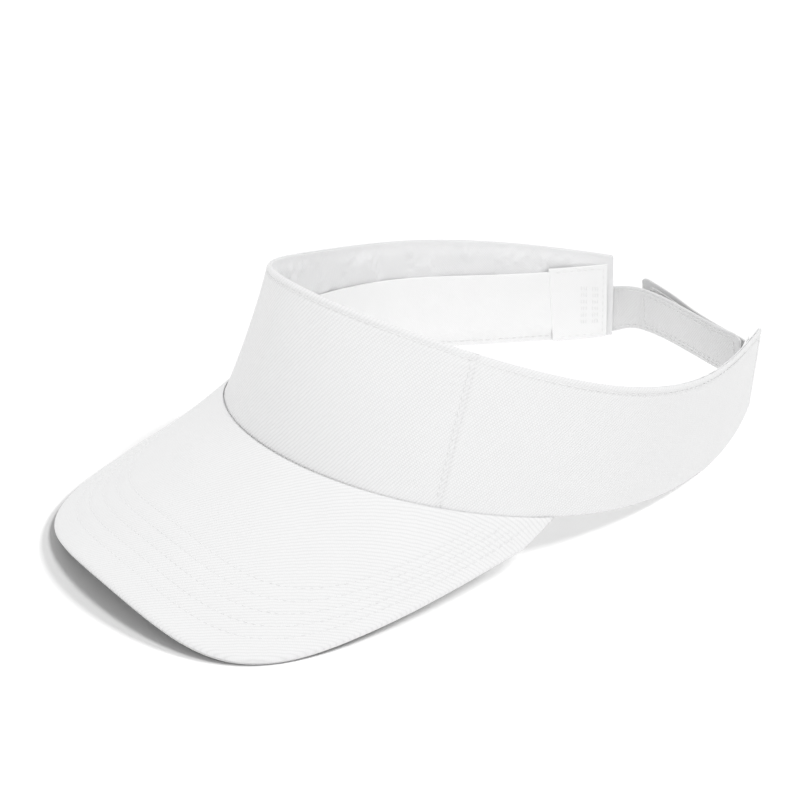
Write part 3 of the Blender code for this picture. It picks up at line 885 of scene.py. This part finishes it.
def brim_layer(angle, part, depth):
    width = np.linalg.norm(brim_top(angle, 1.0) - brim_top(angle, 0.0), axis=-1)
    place = lerp(depth * BRIM_ROOT_SLOPE / width, 1.0, part)
    return brim_top(angle, place) - inward(brim_top, angle, place) * np.asarray(depth)[..., None]


def smoothed(grid, rounds):
    """The grid with each column evened out between its ends."""
    for _ in range(rounds):
        grid[1:-1] = grid[1:-1] / 2 + (grid[:-2] + grid[2:]) / 4
    return grid


def grid_normals(grid):
    return unit(np.cross(np.gradient(grid, axis=1), np.gradient(grid, axis=0)))


def brim_grid(last_angle, upper):
    """The outer face of a cover, from the band to the middle of the rim, as rows of points."""
    angles = np.linspace(-last_angle, last_angle, 321)
    rows = []
    for part in np.concatenate((np.linspace(0, 0.08, 9)[:-1], np.linspace(0.08, 0.97, 66))):
        if upper:
            rows.append(brim_top(angles, part))
        else:
            rows.append(brim_layer(angles, part, brim_thickness(angles)))
    for part in np.linspace(0, 1, 9):
        turn = lerp(pi / 2, radians(5), part)
        rows.append(rim_point(angles, turn if upper else -turn))
    grid = smoothed(np.array(rows), 2)
    close = np.clip((np.abs(angles) - last_angle) / BRIM_POINT + 1, 0, 1) ** 1.5 * 0.94
    return angles, lerp(grid, grid[0], close[None, :, None])


def brim_cover(last_angle, upper):
    """A cover's grid, its normals away from the board, and how far each point is from its edges."""
    angles, grid = brim_grid(last_angle, upper)
    steps = np.linalg.norm(np.diff(grid, axis=0), axis=-1)
    from_band = np.concatenate((np.zeros((1, len(angles))), np.cumsum(steps, axis=0)))
    from_rim = from_band[-1] - from_band
    steps = np.linalg.norm(np.diff(grid, axis=1), axis=-1)
    run = np.concatenate((np.zeros((grid.shape[0], 1)), np.cumsum(steps, axis=1)), axis=1)
    from_side = np.minimum(run, run[:, -1:] - run)
    normals = grid_normals(grid)
    facing = 1 if upper else -1
    rows, columns = normals.shape[:2]
    if normals[rows // 2, columns // 2, 2] * facing < 0:
        normals = -normals
    return grid, normals, from_band, from_rim, from_side


def brim_relief(grid, from_band, from_rim):
    """The cloth of a cover: sunk along each row of stitches, full between them, turned in at its edges."""
    dent = 0.0 * from_rim
    ends_here = np.clip((from_band - 2 * MM) / (2 * MM), 0, 1)
    for row in BRIM_STITCH_ROWS:
        dent = dent + 0.2 * MM * groove(from_rim - row * MM, 0.8 * MM) * ends_here
        ripples = np.cos(grid[..., 0] / (STITCH * 0.93) * 2 * pi) * groove(from_rim - row * MM, 1.5 * MM)
        dent = dent + 0.03 * MM * ripples * ends_here
    dent = dent + folded_edge(from_rim, 1.1 * MM, 0.5 * MM) + folded_edge(from_band, 1.4 * MM, 0.7 * MM)
    dent = dent + 0.1 * MM * wave(grid[..., 0] / (15 * MM), 4) * wave(grid[..., 1] / (17 * MM), 8)
    return dent


def brim_flat(grid):
    """Where each point of a cover was on the flat cloth, across and along the brim."""
    bend = 2 * BRIM_SIDE_FALL / BRIM_HALF_WIDTH**2
    x, y = grid[..., 0], grid[..., 1]
    return x + bend**2 * x**3 / 6, y * 1.05


def brim_rows_at(grid, normals, from_rim, lift):
    """Rows of stitches at fixed distances from the rim."""
    rows = []
    for row in BRIM_STITCH_ROWS:
        inside = from_rim[0] > row * MM + 5 * MM
        columns = np.flatnonzero(inside)
        points, ups = [], []
        for column in columns:
            distances = from_rim[::-1, column]
            place = np.interp(row * MM, distances, np.arange(len(distances))[::-1])
            low = int(place)
            high, part = min(low + 1, len(distances) - 1), place - low
            points.append(lerp(grid[low, column], grid[high, column], part))
            ups.append(lerp(normals[low, column], normals[high, column], part))
        points, ups = np.array(points), unit(np.array(ups))
        rows.append((points + ups * lift, ups))
    return rows


def build_brim():
    for name, node, last_angle, upper in (
        ("brim_top_cloth", "brim_top_cover", CORNER_ANGLE - BRIM_TIP, True),
        ("brim_under_cloth", "brim_bottom_cover", CORNER_ANGLE - BRIM_LINING_TIP, False),
    ):
        grid, normals, from_band, from_rim, from_side = brim_cover(last_angle, upper)
        dent = brim_relief(grid, from_band, from_rim)
        edge = BRIM_COVER / 2
        borders = ((from_band, edge), (from_rim, edge), (from_side, BRIM_SIDE_ROUND))
        keep = np.minimum.reduce([roundness(distance, reach) for distance, reach in borders])
        middle = grid - normals * edge
        outer = middle + normals * ((edge - dent) * keep)[..., None]
        inner = middle - normals * (edge * keep)[..., None]
        outer[..., 2] = np.maximum(outer[..., 2], 0.0)
        obj = closed_mesh(name, outer, inner, BRIM_TWILL, brim_flat(grid))
        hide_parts(node)
        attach(obj, "visor_front")
        thread = stitches(name + "_stitching", brim_rows_at(grid, normals, from_rim, BRIM_STITCH_LIFT))
        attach(thread, "visor_front")


# Straps --------------------------------------------------------------------------------------------------


def spline(points, part):
    """A smooth curve through the points, from the first at 0 to the last at 1."""
    place = np.clip(part, 0, 1) * (len(points) - 1)
    index = np.minimum(place.astype(int), len(points) - 2)
    t = (place - index)[..., None]
    padded = np.concatenate(([2 * points[0] - points[1]], points, [2 * points[-1] - points[-2]]))
    p0, p1, p2, p3 = (padded[index + k] for k in range(4))
    straight = 2 * p1 + (p2 - p0) * t
    return 0.5 * (straight + (2 * p0 - 5 * p1 + 4 * p2 - p3) * t**2 + (3 * p1 - p0 - 3 * p2 + p3) * t**3)


def strap_surface(side, root_low, route):
    """A strap's middle surface, from between the layers of a tail along a route of low-edge points."""
    low, high = [], []
    for back in (STRAP_ROOT_ANGLE, STRAP_ROOT_ANGLE / 2, 0.0):
        angle = side * (sum(TAIL_ANGLES) / 2 - back)
        tall = band_height(angle)
        low.append(behind(band, angle, root_low / tall, STRAP_ROOT_DEPTH))
        high.append(behind(band, angle, (root_low + STRAP_WIDTH) / tall, STRAP_ROOT_DEPTH))
    for point in route:
        low.append(np.array(point) * MM + HEAD_CENTRE)
        high.append(np.array(point) * MM + STRAP_LEAN * STRAP_WIDTH + HEAD_CENTRE)
    low, high = np.array(low), np.array(high)

    def surface(u, v):
        u, v = np.broadcast_arrays(np.asarray(u, float), np.asarray(v, float))
        return lerp(spline(low, u), spline(high, u), v[..., None])

    return surface


def strap_cloth(name, surface, ends, limits, offset, thickness, material, hems):
    def rounded(u):
        """The strap's edges, drawn in round the corners of its free end."""
        part = np.clip(1 - (ends[1] - u) / STRAP_CORNER, 0, 1)
        inset = STRAP_CORNER_RISE * (1 - np.sqrt(1 - part**2))
        return limits[0] + inset, limits[1] - inset

    cloth = Sheet(surface, lambda v: ends, rounded, thickness, 0.8 * MM)
    dent = 0.05 * MM * wave(cloth.run / (9 * MM), offset * 1000 + 1) * wave(cloth.rise / (6 * MM), 2)
    for distance in hems(cloth):
        dent = dent + 0.16 * MM * groove(distance - 1.6 * MM, 0.4 * MM)
    outer, inner = cloth.faces(offset - thickness / 2, thickness, dent, dent)
    return cloth, closed_mesh(name, outer, inner, material, (cloth.run, cloth.rise))


def long_edges(cloth):
    return cloth.from_low, cloth.from_high


def all_edges(cloth):
    return cloth.from_low, cloth.from_high, cloth.from_start, cloth.from_end


def strap_rows(surface, ends, depth, side, low=0.08, high=0.92):
    """Two rows of stitches along the length of a strap."""
    u = np.linspace(*ends, 200)
    return [row_on(surface, u, v, depth, side) for v in (low, high)]


def loop_row(surface, ends, depth, side):
    """Four rows of stitches round the border of a tape."""
    u, v = np.linspace(*ends, 100), np.linspace(*TAPE_BORDER, 30)
    long_rows = [row_on(surface, u, level, depth, side) for level in TAPE_BORDER]
    return long_rows + [row_on(surface, end, v, depth, side) for end in ends]


def thread_slot(obj):
    return obj


def build_straps():
    whole = (0.0, 1.0)
    outer, inner = STRAP_THICKNESS / 2 - THREAD_SINK, -STRAP_THICKNESS / 2 + THREAD_SINK
    tape_face = TAPE_OFFSET + TAPE_THICKNESS / 2 - THREAD_SINK
    inside = (TAPE_MARGIN, 1 - TAPE_MARGIN)

    strap = strap_surface(-1, STRAP_ROOT_LOW, STRAP_ROUTE)
    cloth, obj = strap_cloth("loop_strap", strap, whole, whole, 0.0, STRAP_THICKNESS, SHADED_STRAP_TWILL, long_edges)
    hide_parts("closure_strap")
    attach(obj, "right_side")
    declare(obj, cloth)
    cloth, obj = strap_cloth(
        "loop_pile_tape", strap, LOOP_TAPE_ENDS, inside, TAPE_OFFSET, TAPE_THICKNESS, LOOP_PILE, all_edges
    )
    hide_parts("loop_tape")
    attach(obj, "right_side")
    declare(obj, cloth)
    rows = strap_rows(strap, (0.26, 0.985), inner, -1) + strap_rows(strap, (0.26, 0.48), outer, 1)
    rows += loop_row(strap, (0.51, 0.97), inner, -1) + loop_row(strap, (0.51, 0.97), tape_face, 1)
    thread = stitches("strap_stitching", rows)
    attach(thread_slot(thread), "right_side")

    tab = strap_surface(1, TAB_ROOT_LOW, TAB_ROUTE)
    cloth, obj = strap_cloth("hook_tab", tab, whole, whole, 0.0, STRAP_THICKNESS, SHADED_STRAP_TWILL, long_edges)
    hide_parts("closure_tab", "closure_tab_root")
    declare(obj, cloth)
    bend_tab(obj, tab)
    cloth, obj = strap_cloth(
        "hook_pile_tape", tab, HOOK_TAPE_ENDS, inside, TAPE_OFFSET, TAPE_THICKNESS, HOOK_PILE, all_edges
    )
    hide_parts("hook_tape")
    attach(obj, "tab")
    declare(obj, cloth)
    rows = strap_rows(tab, (0.3, 0.985), inner, -1)
    rows += loop_row(tab, (0.55, 0.96), inner, -1) + loop_row(tab, (0.55, 0.96), tape_face, 1)
    thread = thread_slot(stitches("tab_stitching", rows))
    bend_tab(thread, tab)


def bend_tab(obj, tab):
    """Bakes the object's placement into its mesh. The two points on the tab that it hands on are not used."""
    start = tab(TAB_START - 0.035, 0.5)
    end = tab(TAB_START + 0.035, 0.5)
    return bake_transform(obj, "left_side", "tab", start=tuple(start), end=tuple(end))


# Stitching of the band -----------------------------------------------------------------------------------


def hem_row(first, last, face, depth):
    """The row under the top edge, on the outer face at -1 or the inner face at 1."""
    u = np.linspace(first, last, 400)
    return row_on(band, u, 1 - HEM_STITCH / band_height(u), depth, face)


def upright_row(angle, back, low, high, depth, face):
    """A row beside a seam or an end, the given length back from it, from a low to a high length."""
    v = np.linspace(0, 1, 60)
    tall = band_height(angle(v).mean())
    v = lerp(low / tall, 1 - high / tall, v)
    radius = np.linalg.norm(band(angle(v) + 0.01, v) - band(angle(v), v), axis=-1) / 0.01
    return row_on(band, angle(v) - back / radius, v, depth, face)


def build_band_stitching():
    sunk = 0.24 * MM
    inner = PANEL[1] + LINING[1] - 0.12 * MM
    last = SEAM_ANGLES[1] - radians(0.6)
    rows = [hem_row(-last, last, -1, sunk), hem_row(-last, last, 1, inner)]
    for side in (1, -1):
        seam_line = lambda v: side * seam(v)
        rows.append(upright_row(seam_line, side * SEAM_STITCH, 3 * MM, 3.5 * MM, 0.16 * MM, -1))
    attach(thread_slot(stitches("forehead_stitching", rows)), "visor_front")
    for side, name in ((1, "left_side"), (-1, "right_side")):
        first, last = side * (SEAM_ANGLES[1] + radians(0.6)), side * (TAIL_ANGLES[1] - radians(1.4))
        rows = [hem_row(first, last, -1, sunk), hem_row(first, last, 1, inner)]
        tail_line = lambda v: side * tail(v)
        rows.append(upright_row(tail_line, side * HEM_STITCH, 1.5 * MM, 3.5 * MM, 0.2 * MM, -1))
        bend_side(thread_slot(stitches(name + "_stitching", rows)))
        rows = sweat_rows(side)
        bend_side(thread_slot(stitches(name + "_sweatband_stitching", rows)))
        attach(thread_slot(stitches(name + "_patch_stitching", patch_rows(side))), name)


def sweat_rows(side):
    u = np.linspace(radians(0.5), TAIL_ANGLES[0] - PATCH_ANGLE - radians(1), 400) * side
    v = (GAP + 2.2 * MM - seam_drop(u)) / band_height(u)
    sewn = PANEL[1] + LINING[1] + 0.3 * MM
    depth = lerp(SWEATBAND[0], sewn, pressed(2.2 * MM, 7 * MM)) + SWEATBAND[1] - 0.16 * MM
    return [row_on(band, u, v, depth, 1)]


def patch_rows(side):
    """A border of stitches, and upright bar tacks where the strap is held."""
    face = SWEATBAND[0] + SWEATBAND[1] - 0.18 * MM
    rows = []
    start = lambda v: side * (tail(v) - PATCH_ANGLE)
    end = lambda v: side * (tail(v) - PATCH_SETBACK)
    low, high = 2 * MM, PATCH_HEIGHT - 1.7 * MM
    top = band_height(end(0.5)) - high
    rows.append(upright_row(end, side * 1.7 * MM, low, top, face, 1))
    for back in (4.0, 5.0, 6.0, 8.6, 9.6, 10.6):
        rows.append(upright_row(end, side * back * MM, 6 * MM, top + 8 * MM, face + 0.16 * MM, 1))
    for height in (low, high):
        v = height / band_height(end(0.5))
        u = np.linspace(start(v) + side * radians(1), end(v) - side * radians(1), 60)
        rows.append(row_on(band, u, height / band_height(u), face, 1))
    return rows


def finish_board():
    """The board inside the brim keeps its CAD solid."""
    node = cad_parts["brim_stiffener"]
    node.data.materials.clear()
    node.data.materials.append(BOARD)


front_panel()
for side_sign, side_name in ((1, "left"), (-1, "right")):
    side_panel(side_sign, side_name + "_side")
    end_patch(side_sign, side_name)
build_linings()
build_buckram()
build_sweatband()
build_brim()
build_straps()
build_band_stitching()
finish_board()


# Stage ---------------------------------------------------------------------------------------------------

CAMERA_AZIMUTH, CAMERA_ELEVATION, CAMERA_ROLL = radians(53.27), radians(29.06), radians(-1.107)
CAMERA_DISTANCE = 0.9
CAMERA_AIM = Vector((-0.0716, 0.0405, -0.0150))
CAMERA_LENS = 99.8
SENSOR = 36.0

# Lights: azimuth, elevation and strength.
LIGHT_DISTANCE = 2.0
WORLD_STRENGTH = 0.81
KEY = (95, 75, 12)
KEY_SIZE = 1.2
LOW_FLOOR = (46, 39, 3.8)
HIGH_FLOOR = (66, 54, 2.7)
FLOOR_LIGHT_ANGLE = radians(12)
FLOOR_HALF = 3.0
FLOOR_COLOUR = (0.5, 0.5, 0.5, 1)


def make_camera():
    back = Vector(
        (
            sin(CAMERA_AZIMUTH) * cos(CAMERA_ELEVATION),
            -cos(CAMERA_AZIMUTH) * cos(CAMERA_ELEVATION),
            sin(CAMERA_ELEVATION),
        )
    )
    level = Vector((cos(CAMERA_AZIMUTH), sin(CAMERA_AZIMUTH), 0))
    rise = back.cross(level)
    right = level * cos(CAMERA_ROLL) + rise * sin(CAMERA_ROLL)
    up = -level * sin(CAMERA_ROLL) + rise * cos(CAMERA_ROLL)
    data = bpy.data.cameras.new("camera")
    data.lens, data.sensor_width = CAMERA_LENS, SENSOR
    data.clip_start, data.clip_end = 0.01, 20
    camera = bpy.data.objects.new("camera", data)
    turn = Matrix((right, up, back)).transposed().to_4x4()
    camera.matrix_world = Matrix.Translation(CAMERA_AIM + back * CAMERA_DISTANCE) @ turn
    bpy.context.scene.collection.objects.link(camera)
    bpy.context.scene.camera = camera


def make_floor():
    mesh = bpy.data.meshes.new("floor")
    corners = [(x * FLOOR_HALF, y * FLOOR_HALF, 0) for x, y in ((-1, -1), (1, -1), (1, 1), (-1, 1))]
    mesh.from_pydata(corners, [], [(0, 1, 2, 3)])
    nodes = Nodes("floor")
    nodes.shader.inputs["Base Color"].default_value = FLOOR_COLOUR
    nodes.shader.inputs["Roughness"].default_value = 0.9
    nodes.shader.inputs["Specular IOR Level"].default_value = 0.1
    mesh.materials.append(nodes.material)
    floor = bpy.data.objects.new("floor", mesh)
    bpy.context.scene.collection.objects.link(floor)
    return floor


def chosen(name, objects, state):
    """A collection that links a light to some objects, or keeps it from them."""
    group = bpy.data.collections.new(name)
    for obj in objects:
        group.objects.link(obj)
    for member in group.collection_objects:
        member.light_linking.link_state = state
    return group


def aimed_light(name, kind, azimuth, elevation, strength):
    """A light aimed at the visor from two metres away. Azimuth is 0 from +Y and 90 degrees from +X."""
    data = bpy.data.lights.new(name, kind)
    data.energy = strength
    light = bpy.data.objects.new(name, data)
    level = cos(radians(elevation))
    away = Vector((sin(radians(azimuth)) * level, cos(radians(azimuth)) * level, sin(radians(elevation))))
    light.location = away * LIGHT_DISTANCE
    light.rotation_mode = "QUATERNION"
    light.rotation_quaternion = away.to_track_quat("Z", "Y")
    bpy.context.scene.collection.objects.link(light)
    return light


def light_stage(floor):
    """Even light all round, a soft key for the visor, and two lights for the white floor.

    The floor's lights stop at the brim, and one of them at the near side as well, so the white floor shows
    the shadows under those two and no long shadow of the band.
    """
    world = bpy.data.worlds.new("studio")
    world.use_nodes = True
    background = world.node_tree.nodes["Background"]
    background.inputs["Color"].default_value = (1, 1, 1, 1)
    background.inputs["Strength"].default_value = WORLD_STRENGTH
    bpy.context.scene.world = world
    key = aimed_light("key", "AREA", *KEY)
    key.data.shape, key.data.size = "DISK", KEY_SIZE
    key.light_linking.receiver_collection = chosen("all_but_floor", [floor], "EXCLUDE")
    brim = [bpy.data.objects[name] for name in ("brim_top_cloth", "brim_under_cloth")]
    side = bpy.data.objects["left_side_panel"]
    lights = (("low_floor_light", LOW_FLOOR, brim), ("high_floor_light", HIGH_FLOOR, brim + [side]))
    for name, setting, blockers in lights:
        light = aimed_light(name, "SUN", *setting)
        light.data.angle = FLOOR_LIGHT_ANGLE
        light.light_linking.receiver_collection = chosen(name + "_lit", [floor], "INCLUDE")
        light.light_linking.blocker_collection = chosen(name + "_blockers", blockers, "INCLUDE")
    bpy.context.scene.view_settings.view_transform = "Standard"


light_stage(make_floor())
make_camera()
